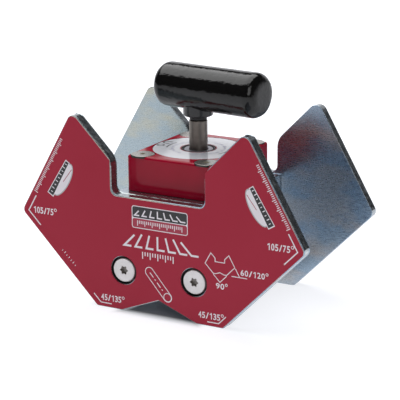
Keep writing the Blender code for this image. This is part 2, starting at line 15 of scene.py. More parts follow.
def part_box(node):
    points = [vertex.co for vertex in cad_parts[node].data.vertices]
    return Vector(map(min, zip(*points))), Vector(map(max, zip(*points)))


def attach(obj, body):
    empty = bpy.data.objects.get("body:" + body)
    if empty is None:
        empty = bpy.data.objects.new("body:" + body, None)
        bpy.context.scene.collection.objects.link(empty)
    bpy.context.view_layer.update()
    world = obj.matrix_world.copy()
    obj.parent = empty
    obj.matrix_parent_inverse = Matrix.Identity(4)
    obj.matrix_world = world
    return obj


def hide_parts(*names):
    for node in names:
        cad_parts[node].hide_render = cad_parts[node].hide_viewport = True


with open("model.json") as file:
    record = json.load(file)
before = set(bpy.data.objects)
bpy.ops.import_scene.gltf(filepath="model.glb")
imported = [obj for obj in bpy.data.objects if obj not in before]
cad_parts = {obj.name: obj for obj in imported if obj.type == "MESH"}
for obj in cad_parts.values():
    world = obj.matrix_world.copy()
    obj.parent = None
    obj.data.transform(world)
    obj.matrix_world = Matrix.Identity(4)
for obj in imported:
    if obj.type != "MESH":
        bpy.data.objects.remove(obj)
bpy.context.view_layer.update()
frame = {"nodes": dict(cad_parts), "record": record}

MM = 0.001
GAP = 0.3  # left between pieces that fit together


def sizes(node):
    """Lowest and highest corner of a CAD node in millimetres."""
    low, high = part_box(node)
    return low / MM, high / MM


# Plates and labels, from the frame
PLATE_LOW, PLATE_HIGH = sizes("front_angle_plate")
LABEL_FACE_Y = -sizes("front_label")[0].y
PLATE_INNER_Y = -PLATE_HIGH.y
PLATE_OUTER_Y = -PLATE_LOW.y

# Plate outline, seen from the front
HALF_WIDTH = 100.0
SIDE_CORNER_Z = 55.0
PEAK_X = 60.5
NOTCH_HALF = 32.5
NOTCH_FLOOR_Z = 73.7
VEE_HALF = 26.5
VEE_TOP_Z = 10.3
UPPER_EDGE = math.radians(60)
LABEL_INSET = 0.8
PLATE_RADII = {"foot": 3.0, "side": 4.5, "peak": 5.0, "shoulder": 12.0, "notch": 5.0, "vee": 1.5}
LABEL_RADII = {"foot": 1.0, "side": 3.7, "peak": 4.2, "shoulder": 1.5, "notch": 4.5, "vee": 0.8}
PLATE_OUTER_ROUND = 0.4
PLATE_INNER_ROUND = 0.3
BURR_HIGH = 0.2
BURR_WIDE = 0.55
EDGE_STEPS = 5
PRINT_THICK = 0.05

# Plate screws and their seats
SCREW_SEAT_R = 9.0
SCREW_SEAT_DEEP = 3.6
SCREW_HOLE_R = 4.3
PLATE_SCREW_HEAD_R = 7.75
PLATE_SCREW_HEAD_THICK = 3.0
PLATE_SCREW_SHANK_R = 4.0
PLATE_SCREW_REACH = 22.0
PLATE_SCREW_SOCKET_R = 2.9
PLATE_SCREW_SOCKET_DEEP = 2.2

# Pole housing, top block and what sits in it
POLE_ROUND = 1.6
BORE_R = 32.0
BORE_FLOOR_Z = 18.5
BLOCK_LOW_Z = sizes("top_housing")[0].z
BLOCK_ROUND = 1.7
TOP_SCREW_SEAT_R = 7.7
TOP_SCREW_SEAT_DEEP = 1.5
TOP_SCREW_HEAD_THICK = 1.3
TOP_SCREW_SHANK_R = 3.0
TOP_SCREW_SOCKET_R = 2.0
TOP_SCREW_SOCKET_DEEP = 1.0
LABEL_RECESS_R = 28.8
LABEL_RECESS_DEEP = 0.6
TOP_LABEL_HOLE_R = 11.0
BEARING_SEAT_R = 10.7
BEARING_SEAT_DEEP = 3.0
BUSH_R = 8.2
BUSH_FLANGE_THICK = 2.4
SEAL_INNER_R = 9.5

# Stem and handle
STEM_R = 5.75
STEM_FLANGE_R = 7.8
STEM_SHOULDER_Z = 113.8
STEM_THREAD_R = 4.0
STEM_SQUARE_HALF = 4.0
STEM_SQUARE_LONG = 7.0
STEM_FLANGE_THICK = 3.8
COLLAR_TOP_Z = 127.95
HANDLE_AXIS_Z = 133.95
GRIP_R = 14.0
GRIP_LENGTH = 75.9
GRIP_OFFSET = 10.8
GRIP_END_ROUND = 6.6
GRIP_WALL = 4.6
REST_ANGLE = math.radians(-6.2)  # the long end of the handle at its first stop

# Camera
YAW = math.radians(30.003)
PITCH = math.radians(15.671)
ROLL = math.radians(-0.498)
CAMERA_M = Vector((0.51275, -0.88678, 0.34940))
LENS_MM = 152.96

# Floor, in metres: painted light, a glow all round the holder, and painted shadow under it where the glow
# is off
FOOT_X = 0.022
FOOT_Y = 0.046
FOOT_FADE = 0.010
FLOOR_PAINTED_LIGHT = 0.76
FAR_PAINTED_LIGHT = 0.30

# Room light, as seen by reflections
WALL_LIGHT = 1.0
ROOM_LIGHT = 0.03


# ---------------------------------------------------------------- node materials


class Nodes:
    """Short calls for building the node tree of its owner, a material or the world."""

    def __init__(self, name, world=False):
        self.owner = (bpy.data.worlds if world else bpy.data.materials).new(name)
        self.owner.use_nodes = True
        self.tree = self.owner.node_tree
        self.shader = self.tree.nodes["Background" if world else "Principled BSDF"]
        coordinates = self.tree.nodes.new("ShaderNodeTexCoord")
        self.place = coordinates.outputs["Generated" if world else "Object"]

    def link(self, source, target):
        self.tree.links.new(source, target)

    def put(self, socket, value):
        """A node's output is linked, and a number or colour is set on the socket."""
        if isinstance(value, bpy.types.NodeSocket):
            self.link(value, socket)
        elif hasattr(value, "__len__") and len(value) == 3 and socket.type == "RGBA":
            socket.default_value = (*value, 1.0)
        else:
            socket.default_value = value

    def set(self, **sockets):
        for name, value in sockets.items():
            self.put(self.shader.inputs[name.replace("_", " ")], value)

    def coordinate(self, axis):
        node = self.tree.nodes.new("ShaderNodeSeparateXYZ")
        self.link(self.place, node.inputs["Vector"])
        return node.outputs[axis]

    def stretched(self, scale):
        node = self.tree.nodes.new("ShaderNodeMapping")
        node.inputs["Scale"].default_value = scale
        self.link(self.place, node.inputs["Vector"])
        return node.outputs["Vector"]

    def noise(self, scale, detail=3.0, roughness=0.5, vector=None):
        node = self.tree.nodes.new("ShaderNodeTexNoise")
        node.inputs["Scale"].default_value = scale
        node.inputs["Detail"].default_value = detail
        node.inputs["Roughness"].default_value = roughness
        self.link(vector or self.place, node.inputs["Vector"])
        return node.outputs["Fac"]

    def ranged(self, value, low, high, to_low=0.0, to_high=1.0):
        node = self.tree.nodes.new("ShaderNodeMapRange")
        self.link(value, node.inputs["Value"])
        node.inputs["From Min"].default_value = low
        node.inputs["From Max"].default_value = high
        node.inputs["To Min"].default_value = to_low
        node.inputs["To Max"].default_value = to_high
        return node.outputs["Result"]

    def ramp(self, axis, start, end, low, high):
        """Smooth change along an axis, from low at the start to high at the end."""
        result = self.ranged(self.coordinate(axis), start, end, low, high)
        result.node.interpolation_type = "SMOOTHSTEP"
        return result

    def mix(self, factor, first, second):
        node = self.tree.nodes.new("ShaderNodeMix")
        node.data_type = "RGBA"
        self.put(node.inputs["Factor"], factor)
        colours = [socket for socket in node.inputs if socket.type == "RGBA"]
        self.put(colours[0], first)
        self.put(colours[1], second)
        return [socket for socket in node.outputs if socket.type == "RGBA"][0]

    def blend(self, value, low, high, first, second):
        """Colour that goes from the first to the second as the value passes from low to high."""
        return self.mix(self.ranged(value, low, high), first, second)

    def multiplied(self, first, second):
        node = self.tree.nodes.new("ShaderNodeVectorMath")
        node.operation = "MULTIPLY"
        self.link(first, node.inputs[0])
        self.link(second, node.inputs[1])
        return node.outputs["Vector"]

    def maths(self, operation, first, second):
        node = self.tree.nodes.new("ShaderNodeMath")
        node.operation = operation
        self.put(node.inputs[0], first)
        self.put(node.inputs[1], second)
        return node.outputs["Value"]

    def bump(self, height, strength, distance_mm, under=None):
        node = self.tree.nodes.new("ShaderNodeBump")
        node.inputs["Strength"].default_value = strength
        node.inputs["Distance"].default_value = distance_mm * MM
        self.link(height, node.inputs["Height"])
        if under is not None:
            self.link(under, node.inputs["Normal"])
        self.link(node.outputs["Normal"], self.shader.inputs["Normal"])
        return node.outputs["Normal"]


def zinc_face():
    """Rolled zinc plating: short level streaks, faint yellow patches, and bluer towards the right."""
    n = Nodes("zinc_face")
    streaks = n.noise(1.0, 4.0, 0.62, n.stretched((230.0, 900.0, 1350.0)))
    patches = n.noise(1.0, 3.0, 0.55, n.stretched((30.0, 60.0, 62.0)))
    right = n.ranged(n.coordinate("X"), -0.02, 0.05)
    blue = n.mix(right, (0.42, 0.50, 0.54), (0.38, 0.49, 0.61))
    yellow = n.mix(right, (0.52, 0.53, 0.46), (0.52, 0.52, 0.54))
    tint = n.blend(patches, 0.46, 0.64, blue, yellow)
    darker = n.blend(streaks, 0.30, 0.70, (0.76, 0.76, 0.76), (1.0, 1.0, 1.0))
    n.set(Base_Color=n.multiplied(tint, darker), Metallic=0.95)
    n.set(Roughness=n.ranged(streaks, 0.3, 0.7, 0.20, 0.34))
    n.bump(streaks, 0.12, 0.02)
    return n.owner


def zinc_cut():
    """Cut edge of a plate: dark, mottled and marked across its thickness."""
    n = Nodes("zinc_cut")
    marks = n.noise(1.0, 3.0, 0.6, n.stretched((700.0, 90.0, 700.0)))
    blotches = n.noise(330.0, 3.0, 0.6)
    both = n.maths("MULTIPLY", marks, blotches)
    n.set(Base_Color=n.blend(both, 0.12, 0.42, (0.22, 0.25, 0.28), (0.54, 0.58, 0.60)))
    n.set(Metallic=0.95, Roughness=n.ranged(blotches, 0.3, 0.7, 0.12, 0.27))
    n.bump(both, 0.25, 0.04)
    return n.owner


def label_vinyl():
    n = Nodes("label_vinyl")
    grain = n.noise(2500.0, 2.0)
    broad = n.noise(12.0, 2.0)
    n.set(Base_Color=n.blend(broad, 0.3, 0.7, (0.345, 0.014, 0.036), (0.365, 0.018, 0.043)))
    n.set(Roughness=n.ranged(grain, 0.3, 0.7, 0.38, 0.48), Specular_IOR_Level=0.2)
    n.bump(grain, 0.1, 0.01)
    return n.owner


def ink(name, colour, roughness=0.45):
    n = Nodes(name)
    patches = n.noise(900.0, 2.0)
    n.set(Base_Color=n.mix(n.ranged(patches, 0.3, 0.7, 0.0, 0.12), colour, [0.85 * c for c in colour]))
    n.set(Roughness=n.ranged(patches, 0.3, 0.7, roughness - 0.04, roughness + 0.04))
    return n.owner


def screw_steel():
    """Faced steel: light grey with fine turning marks."""
    n = Nodes("screw_steel")
    grain = n.noise(1500.0, 3.0, 0.6)
    broad = n.noise(120.0, 2.0)
    n.set(Base_Color=n.blend(broad, 0.35, 0.65, (0.62, 0.60, 0.60), (0.70, 0.68, 0.68)))
    n.set(Metallic=0.75, Roughness=n.ranged(grain, 0.3, 0.7, 0.36, 0.5))
    n.bump(grain, 0.12, 0.01)
    return n.owner


def pole_steel():
    n = Nodes("pole_steel")
    streaks = n.noise(1.0, 4.0, 0.6, n.stretched((1200.0, 1200.0, 60.0)))
    broad = n.noise(30.0, 2.0)
    n.set(Base_Color=n.blend(broad, 0.35, 0.65, (0.36, 0.43, 0.50), (0.46, 0.50, 0.54)))
    n.set(Metallic=0.95, Roughness=n.ranged(streaks, 0.3, 0.7, 0.16, 0.28))
    n.bump(streaks, 0.15, 0.02)
    return n.owner


def red_paint():
    """Glossy enamel with light orange peel."""
    n = Nodes("red_paint")
    peel = n.noise(420.0, 2.0, 0.45)
    broad = n.noise(25.0, 2.0)
    n.set(Base_Color=n.blend(broad, 0.35, 0.65, (0.29, 0.002, 0.018), (0.34, 0.003, 0.023)))
    n.set(Roughness=n.ranged(peel, 0.3, 0.7, 0.09, 0.14), Specular_IOR_Level=0.2)
    n.bump(peel, 0.35, 0.04)
    return n.owner


def black_vinyl():
    """Dipped vinyl: glossy black and lightly crinkled, with stippled flat ends."""
    n = Nodes("black_vinyl")
    crinkle = n.noise(1.0, 3.0, 0.5, n.stretched((420.0, 420.0, 300.0)))
    fine = n.noise(1800.0, 2.0)
    half = GRIP_LENGTH / 2 * MM
    end = n.ranged(n.maths("ABSOLUTE", n.coordinate("Z"), 0.0), half - 2 * MM, half - 0.5 * MM)
    stipple = n.maths("MULTIPLY", fine, n.ranged(end, 0.0, 1.0, 0.10, 1.0))
    n.set(Base_Color=n.blend(fine, 0.3, 0.7, (0.0035, 0.0035, 0.004), (0.006, 0.0055, 0.005)))
    n.set(Roughness=n.ranged(end, 0.0, 1.0, 0.09, 0.30), Specular_IOR_Level=0.38)
    n.bump(crinkle, 0.8, 0.22, n.bump(stipple, 0.6, 0.10))
    return n.owner


def stem_steel():
    n = Nodes("stem_steel")
    rings = n.noise(1.0, 3.0, 0.6, n.stretched((80.0, 80.0, 1600.0)))
    stains = n.noise(90.0, 3.0)
    n.set(Base_Color=n.blend(stains, 0.35, 0.65, (0.145, 0.127, 0.112), (0.215, 0.190, 0.168)))
    n.set(Metallic=0.9, Roughness=n.ranged(rings, 0.3, 0.7, 0.30, 0.44))
    n.bump(rings, 0.25, 0.015)
    return n.owner


def plain(name, colour, roughness, metallic=0.0, grain_scale=900.0, bump=0.15):
    """Even finish with a fine grain, for pieces that are small or inside."""
    n = Nodes(name)
    grain = n.noise(grain_scale, 3.0, 0.55)
    darker = [0.8 * c for c in colour]
    n.set(Base_Color=n.mix(n.ranged(grain, 0.3, 0.7, 0.0, 0.5), colour, darker))
    n.set(Roughness=n.ranged(grain, 0.3, 0.7, roughness * 0.85, roughness * 1.15), Metallic=metallic)
    n.bump(grain, bump, 0.02)
    return n.owner


# ---------------------------------------------------------------- mesh helpers


def rounded_outline(corners, arc_step=math.radians(6)):
    """Closed outline through (x, z, radius) corners, each turned on an arc of its radius."""
    outline = []
    for i, (x, z, radius) in enumerate(corners):
        here = Vector((x, z))
        if radius <= 0:
            outline.append(here)
            continue
        before = (Vector(corners[i - 1][:2]) - here).normalized()
        after = (Vector(corners[(i + 1) % len(corners)][:2]) - here).normalized()
        half = math.acos(max(-1.0, min(1.0, before.dot(after)))) / 2
        centre = here + (before + after).normalized() * radius / math.sin(half)
        start = here + before * radius / math.tan(half) - centre
        turn = math.pi - 2 * half
        side = math.copysign(1.0, start.cross(after - before))
        steps = max(3, math.ceil(turn / arc_step - 0.01))
        for k in range(steps + 1):
            outline.append(centre + Matrix.Rotation(side * turn * k / steps, 2) @ start)
    return outline


def box_corners(half_x, half_y, radius=0.0):
    signs = ((-1, -1), (1, -1), (1, 1), (-1, 1))
    return [(sx * half_x, sy * half_y, radius) for sx, sy in signs]


def box_outline(half_x, half_y):
    return [corner[:2] for corner in box_corners(half_x, half_y)]


def arc(centre_r, centre_z, radius, start, end, steps=8):
    """Points of an arc in (radius, height), from one angle in degrees to another."""
    points = []
    for k in range(steps + 1):
        angle = math.radians(start + (end - start) * k / steps)
        points.append((centre_r + radius * math.cos(angle), centre_z + radius * math.sin(angle)))
    return points


def flat_along_y(u, v, level):
    return Vector((u, level, v)) * MM


def flat_along_z(u, v, level):
    return Vector((u, v, level)) * MM


def add_prism(bm, outline, low, high, place=flat_along_y, side_material=0):
    """Closed straight extrusion of an outline between two levels."""
    near = [bm.verts.new(place(u, v, low)) for u, v in outline]
    far = [bm.verts.new(place(u, v, high)) for u, v in outline]
    bm.faces.new(near)
    bm.faces.new(reversed(far))
    for i in range(len(outline)):
        j = (i + 1) % len(outline)
        bm.faces.new((near[i], far[i], far[j], near[j])).material_index = side_material


def add_stack(bm, sections, finishes, place=flat_along_y):
    """Closed body through outlines of as many points, each at its level, with a finish for each step."""
    rows = [[bm.verts.new(place(u, v, level)) for u, v in outline] for outline, level in sections]
    bm.faces.new(rows[0])
    bm.faces.new(reversed(rows[-1]))
    for near, far, finish in zip(rows, rows[1:], finishes):
        for i in range(len(near)):
            j = (i + 1) % len(near)
            bm.faces.new((near[i], far[i], far[j], near[j])).material_index = finish


def add_band(bm, first, second, low, high, place=flat_along_y, closed=False):
    """Closed flat strip between two lines of as many points: an open stroke or a whole ring."""
    rows = []
    for a, b in zip(first, second):
        ring = ((a, low), (b, low), (b, high), (a, high))
        rows.append([bm.verts.new(place(*point, level)) for point, level in ring])
    spans = list(zip(rows, rows[1:]))
    if closed:
        spans.append((rows[-1], rows[0]))
    else:
        bm.faces.new(rows[0])
        bm.faces.new(reversed(rows[-1]))
    for here, there in spans:
        for i in range(4):
            j = (i + 1) % 4
            bm.faces.new((here[i], there[i], there[j], here[j]))


def add_turned(bm, profile, segments=96, centre=(0.0, 0.0), tube=False):
    """Turns (radius, height) points about a vertical axis. A tube's profile closes on itself."""
    rows = []
    for radius, height in profile:
        row = []
        for k in range(segments):
            angle = math.tau * k / segments
            x = centre[0] + radius * math.cos(angle)
            y = centre[1] + radius * math.sin(angle)
            row.append(bm.verts.new(Vector((x, y, height)) * MM))
        rows.append(row)
    pairs = list(zip(rows, rows[1:]))
    if tube:
        pairs.append((rows[-1], rows[0]))
    else:
        bm.faces.new(rows[0])
        bm.faces.new(rows[-1])
    for lower, upper in pairs:
        for k in range(segments):
            j = (k + 1) % segments
            bm.faces.new((lower[k], lower[j], upper[j], upper[k]))


def new_object(name, bm, *finishes):
    bmesh.ops.recalc_face_normals(bm, faces=bm.faces)
    mesh = bpy.data.meshes.new(name)
    bm.to_mesh(mesh)
    bm.free()
    for finish in finishes:
        mesh.materials.append(looks[finish])
    obj = bpy.data.objects.new(name, mesh)
    bpy.context.scene.collection.objects.link(obj)
    return obj


def bake_modifiers(obj):
    """Keeps what the object's modifiers make as its own mesh."""
    bpy.context.view_layer.update()
    graph = bpy.context.evaluated_depsgraph_get()
    made = bpy.data.meshes.new_from_object(obj.evaluated_get(graph))
    obj.modifiers.clear()
    obj.data = made
    return obj


def edge_round(obj, width, segments=4, angle=40):
    bevel = obj.modifiers.new("edge_round", "BEVEL")
    bevel.width = width * MM
    bevel.segments = segments
    bevel.limit_method = "ANGLE"
    bevel.angle_limit = math.radians(angle)
    return bake_modifiers(obj)


def carve(obj, cutters):
    """Cuts the cutters out of the object and removes them."""
    for cutter in cutters:
        cut = obj.modifiers.new(cutter.name, "BOOLEAN")
        cut.operation = "DIFFERENCE"
        cut.object = cutter
    bake_modifiers(obj)
    for cutter in cutters:
        bpy.data.objects.remove(cutter, do_unlink=True)
    return obj


def turned_ring(name, profile, finish, segments=96):
    bm = bmesh.new()
    add_turned(bm, profile, segments, tube=True)
    return new_object(name, bm, finish)


def new_cutter(bm, finishes=()):
    """Cutter that leaves the last of the cut piece's finishes where it cuts."""
    for face in bm.faces:
        face.material_index = max(0, len(finishes) - 1)
    return new_object("cutter", bm, *finishes)


def turned_cutter(profile, segments=96, centre=(0.0, 0.0), finishes=()):
    bm = bmesh.new()
    add_turned(bm, profile, segments, centre)
    return new_cutter(bm, finishes)


def lay_along_y(obj, x, z, face_y):
    """Moves a piece made on the Z axis so that its +Z points out of the plate at face_y."""
    outward = math.copysign(1.0, face_y)
    tilt = Matrix.Rotation(-outward * math.pi / 2, 4, "X")
    bpy.context.view_layer.update()
    obj.data.transform(Matrix.Translation(Vector((x, face_y, z)) * MM) @ tilt)
    return obj


def finished(obj, body, node, angle=32):
    """Smooth shading with sharp creases, flat faces kept flat, tied to the body and the CAD node."""
    obj.data.shade_smooth()
    obj.data.set_sharp_from_angle(angle=math.radians(angle))
    weights = obj.modifiers.new("flat_faces", "WEIGHTED_NORMAL")
    weights.keep_sharp = True
    if node:
        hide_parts(node)
    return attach(obj, body)


# ---------------------------------------------------------------- plates and labels


def plate_corners(radii):
    """Corners (x, z, radius) of the plate outline, counter-clockwise from the top of the vee."""
    peak_z = SIDE_CORNER_Z + (HALF_WIDTH - PEAK_X) * math.tan(UPPER_EDGE)
    right_half = [
        (VEE_HALF, 0.0, radii["vee"]),
        (HALF_WIDTH - SIDE_CORNER_Z, 0.0, radii["foot"]),
        (HALF_WIDTH, SIDE_CORNER_Z, radii["side"]),
        (PEAK_X, peak_z, radii["peak"]),
        (NOTCH_HALF, peak_z - (PEAK_X - NOTCH_HALF), radii["shoulder"]),
        (NOTCH_HALF, NOTCH_FLOOR_Z, radii["notch"]),
    ]
    left_half = [(-x, z, radius) for x, z, radius in reversed(right_half)]
    return [(0.0, VEE_TOP_Z, radii["vee"]), *right_half, *left_half]


def drawn_in(corners, inset):
    """The same counter-clockwise corners with every side moved inwards."""
    moved = []
    for i, (x, z, radius) in enumerate(corners):
        here = Vector((x, z))
        arrive = (here - Vector(corners[i - 1][:2])).normalized()
        leave = (Vector(corners[(i + 1) % len(corners)][:2]) - here).normalized()
        first, second = Vector((-arrive.y, arrive.x)), Vector((-leave.y, leave.x))
        here += (first + second) * inset / (1 + first.dot(second))
        moved.append((here.x, here.y, radius))
    return moved


def screw_places():
    """Centres (x, z) of the two screws on a plate, from the frame."""
    centres = []
    for side in ("left", "right"):
        low, high = sizes(f"plate_screw_front_{side}")
        centres.append(((low.x + high.x) / 2, (low.z + high.z) / 2))
    return centres


def plate_sections():
    """(inset, distance from the middle plane) over the plate's edge, from its outer to its inner face."""
    quarter = [math.radians(90 * k / EDGE_STEPS) for k in range(EDGE_STEPS + 1)]
    burr_top = PLATE_INNER_Y + PLATE_INNER_ROUND
    sections = []
    for turn in quarter:
        inset = BURR_HIGH + PLATE_OUTER_ROUND * (1 - math.sin(turn))
        sections.append((inset, PLATE_OUTER_Y - PLATE_OUTER_ROUND * (1 - math.cos(turn))))
    sections.append((BURR_HIGH, burr_top + BURR_WIDE))
    for turn in quarter:
        inset = PLATE_INNER_ROUND * (1 - math.cos(turn))
        sections.append((inset, burr_top - PLATE_INNER_ROUND * math.sin(turn)))
    return sections


def make_plate(end, sign):
    """Angle plate: rolled faces, cut edges with a slight burr inside, and two sunk screw seats."""
    # The seat cutters leave the last finish on the seat's walls and floor: near-black painted shade in the
    # hollow round the screw head.
    finishes = ("zinc_face", "zinc_cut", "seat_painted_shade")
    corners = plate_corners(PLATE_RADII)
    outlines = [(rounded_outline(drawn_in(corners, inset)), sign * y) for inset, y in plate_sections()]
    bm = bmesh.new()
    add_stack(bm, outlines, [0] * EDGE_STEPS + [1] + [0] * (EDGE_STEPS + 1))
    plate = new_object(f"{end}_plate", bm, *finishes)
    seat = [
        (SCREW_HOLE_R, PLATE_INNER_Y - PLATE_OUTER_Y - 1),
        (SCREW_HOLE_R, -SCREW_SEAT_DEEP),
        (SCREW_SEAT_R, -SCREW_SEAT_DEEP),
        (SCREW_SEAT_R, 1),
    ]
    cutters = []
    for x, z in screw_places():
        cutter = turned_cutter(seat, finishes=finishes)
        cutters.append(lay_along_y(cutter, x, z, sign * PLATE_OUTER_Y))
    carve(plate, cutters)
    return finished(plate, "base", f"{end}_angle_plate", 19)


def make_label(end, sign):
    """Vinyl label with a pale cut edge, round the screw seats."""
    back, face = sign * (PLATE_OUTER_Y + 0.04), sign * (LABEL_FACE_Y - PRINT_THICK)
    bm = bmesh.new()
    outline = rounded_outline(drawn_in(plate_corners(LABEL_RADII), LABEL_INSET))
    add_prism(bm, outline, back, face, side_material=1)
    label = new_object(f"{end}_label_sheet", bm, "label_vinyl", "label_edge")
    hole = [(SCREW_SEAT_R + 0.25, -1), (SCREW_SEAT_R + 0.25, 1)]
    carve(label, [lay_along_y(turned_cutter(hole), x, z, face) for x, z in screw_places()])
    return finished(label, "base", f"{end}_label")


def six_lobes(radius, points=72):
    lobes = []
    for k in range(points):
        angle = math.tau * k / points
        reach = radius * (0.86 + 0.14 * math.cos(6 * angle))
        lobes.append((reach * math.cos(angle), reach * math.sin(angle)))
    return lobes


def socket_cutter(radius, depth, finishes):
    bm = bmesh.new()
    add_prism(bm, six_lobes(radius), -depth, 1, flat_along_z)
    return new_cutter(bm, finishes)


def make_plate_screw(end, side, sign, x, z):
    """Flat head with a rounded rim and a six-lobed socket."""
    profile = [
        (PLATE_SCREW_SHANK_R - 0.8, -PLATE_SCREW_REACH),
        (PLATE_SCREW_SHANK_R, -PLATE_SCREW_REACH + 0.8),
        (PLATE_SCREW_SHANK_R, -PLATE_SCREW_HEAD_THICK),
        (PLATE_SCREW_HEAD_R - 0.3, -PLATE_SCREW_HEAD_THICK),
        (PLATE_SCREW_HEAD_R, -PLATE_SCREW_HEAD_THICK + 0.3),
        (PLATE_SCREW_HEAD_R, -0.95),
        *arc(PLATE_SCREW_HEAD_R - 1.3, -0.95, 1.3, 0, 55, 5),
        (PLATE_SCREW_HEAD_R - 1.25, 0.0),
    ]
    bm = bmesh.new()
    add_turned(bm, profile)
    # The socket's cut faces take the second finish, a darker brown: painted shade in the hollow.
    finishes = ("screw_steel", "socket_painted_shade")
    screw = new_object(f"{end}_{side}_screw", bm, *finishes)
    carve(screw, [socket_cutter(PLATE_SCREW_SOCKET_R, PLATE_SCREW_SOCKET_DEEP, finishes)])
    lay_along_y(screw, x, z, sign * PLATE_OUTER_Y)
    return finished(screw, "base", f"plate_screw_{end}_{side}")


# ---------------------------------------------------------------- label prints


class Prints:
    """Flat prints on one face, gathered as one mesh for each ink. A level lies above the ones below it."""

    def __init__(self, name, place, low, step):
        self.name, self.place, self.low, self.step = name, place, low, step
        self.inks = {}

    def mesh(self, ink):
        return self.inks.setdefault(ink, bmesh.new())

    def span(self, level):
        return self.low, self.low + self.step * level

    def area(self, ink, outline, level=1):
        add_prism(self.mesh(ink), outline, *self.span(level), self.place)

    def stroke(self, ink, points, width, closed=False, level=1):
        """Line of even width with mitred corners."""
        points = [Vector(p) for p in points]
        first, second = [], []
        count = len(points)
        for i, here in enumerate(points):
            before = points[i - 1] if closed or i > 0 else None
            after = points[(i + 1) % count] if closed or i < count - 1 else None
            arrive = (here - before).normalized() if before is not None else (after - here).normalized()
            leave = (after - here).normalized() if after is not None else arrive
            one, two = Vector((-arrive.y, arrive.x)), Vector((-leave.y, leave.x))
            aside = (one + two) * (width / 2) / (1 + one.dot(two))
            first.append(here + aside)
            second.append(here - aside)
        add_band(self.mesh(ink), first, second, *self.span(level), self.place, closed)

    def circle(self, ink, centre, radius, width, level=1, steps=48):
        points = [along(centre, 360 * k / steps, radius) for k in range(steps)]
        self.stroke(ink, points, width, True, level)

    def figures(self, ink, text, centre, width, height, level=1):
        """Row of figures in equal cells. A one is drawn, and the rest are in Blender's own font."""
        cell = width / len(text)
        for k, sign in enumerate(text):
            u, v = centre[0] + (k + 0.5 - len(text) / 2) * cell, centre[1]
            if sign == "1":
                line = 0.15 * height
                bar = u + 0.12 * cell
                self.stroke(ink, [(bar, v - height / 2), (bar, v + height / 2)], line, level=level)
                flag = [(u - 0.34 * cell, v + 0.22 * height), (bar, v + 0.44 * height)]
                self.stroke(ink, flag, line, level=level + 1)
            else:
                self.figure(ink, sign, (u, v), 0.84 * cell, height, level)

    def figure(self, ink, sign, centre, width, height, level):
        """One sign of Blender's own font, fitted to a width and a height."""
        curve = bpy.data.curves.new("figure", "FONT")
        curve.body = sign
        curve.resolution_u = 4
        curve.extrude = 0.5
        curve.offset = 0.02
        letter = bpy.data.objects.new("figure", curve)
        bpy.context.scene.collection.objects.link(letter)
        bpy.context.view_layer.update()
        mesh = bpy.data.meshes.new_from_object(letter.evaluated_get(bpy.context.evaluated_depsgraph_get()))
        xs = [v.co.x for v in mesh.vertices]
        ys = [v.co.y for v in mesh.vertices]
        low, high = self.span(level)
        for v in mesh.vertices:
            u = centre[0] + ((v.co.x - min(xs)) / (max(xs) - min(xs)) - 0.5) * width
            w = centre[1] + ((v.co.y - min(ys)) / (max(ys) - min(ys)) - 0.5) * height
            v.co = self.place(u, w, low if v.co.z < 0 else high)
        self.mesh(ink).from_mesh(mesh)
        bpy.data.objects.remove(letter, do_unlink=True)
        bpy.data.curves.remove(curve)
        bpy.data.meshes.remove(mesh)

    def finish(self, body, slot, turn_round=False):
        half_turn = Matrix.Rotation(math.pi, 3, "Z")
        for ink, bm in self.inks.items():
            bmesh.ops.remove_doubles(bm, verts=bm.verts, dist=1e-7)
            if turn_round:
                bmesh.ops.rotate(bm, verts=bm.verts, cent=(0, 0, 0), matrix=half_turn)
            obj = new_object(f"{self.name}_{ink}", bm, f"ink_{ink}")
            finished(obj, body, None)


def along(start, direction, distance, aside=0.0):
    """Point at a distance along a direction given in degrees, and a distance to its left."""
    angle = math.radians(direction)
    u = start[0] + distance * math.cos(angle) - aside * math.sin(angle)
    v = start[1] + distance * math.sin(angle) + aside * math.cos(angle)
    return (u, v)


def mirrored(points, side):
    return [(side * u, v) for u, v in points]


def degree_mark(prints, text, centre, width, height):
    """An angle such as 105/75 followed by its degree ring."""
    ring = 0.2 * height
    figures_width = width - 2.4 * ring
    prints.figures("white", text, (centre[0] - 1.4 * ring, centre[1]), figures_width, height)
    ring_place = (centre[0] + width / 2 - ring, centre[1] + 0.36 * height)
    prints.circle("white", ring_place, ring, 0.42, steps=20)


def corner_marks(prints):
    """Bent lines by the corners that set an angle, each with its figures."""
    for side in (-1, 1):
        corner = (94.4, 55.6)
        upper = along(corner, 120, 11.8)
        lower = along(corner, 225, 12.3)
        prints.stroke("white", mirrored([upper, corner, lower], side), 0.75)
        degree_mark(prints, "105/75", (side * 82.7 + 0.6, 56.5), 17.4, 4.2)
        corner = (41.9, 3.1)
        upper = along(corner, 45, 7.2)
        foot = along(corner, 180, 7.8)
        prints.stroke("white", mirrored([upper, corner, foot], side), 0.65)
    degree_mark(prints, "45/135", (-33.2, 6.8), 17.0, 4.0)
    degree_mark(prints, "45/135", (36.6, 7.0), 17.4, 4.0)


def edge_scales(prints):
    """Fine scale along each 60 degree edge."""
    for side in (-1, 1):
        count = 34
        for k in range(count):
            base = along((89.6, 69.2), 120, 41.0 * k / (count - 1))
            reach = 2.9 if k % 5 == 0 else 1.9
            tip = along(base, 210, reach)
            prints.stroke("white", mirrored([base, tip], side), 0.52)


def ellipse(centre, half_long, half_wide, direction, steps=56):
    points = []
    for k in range(steps):
        angle = math.tau * k / steps
        points.append(along(centre, direction, half_long * math.cos(angle), half_wide * math.sin(angle)))
    return points


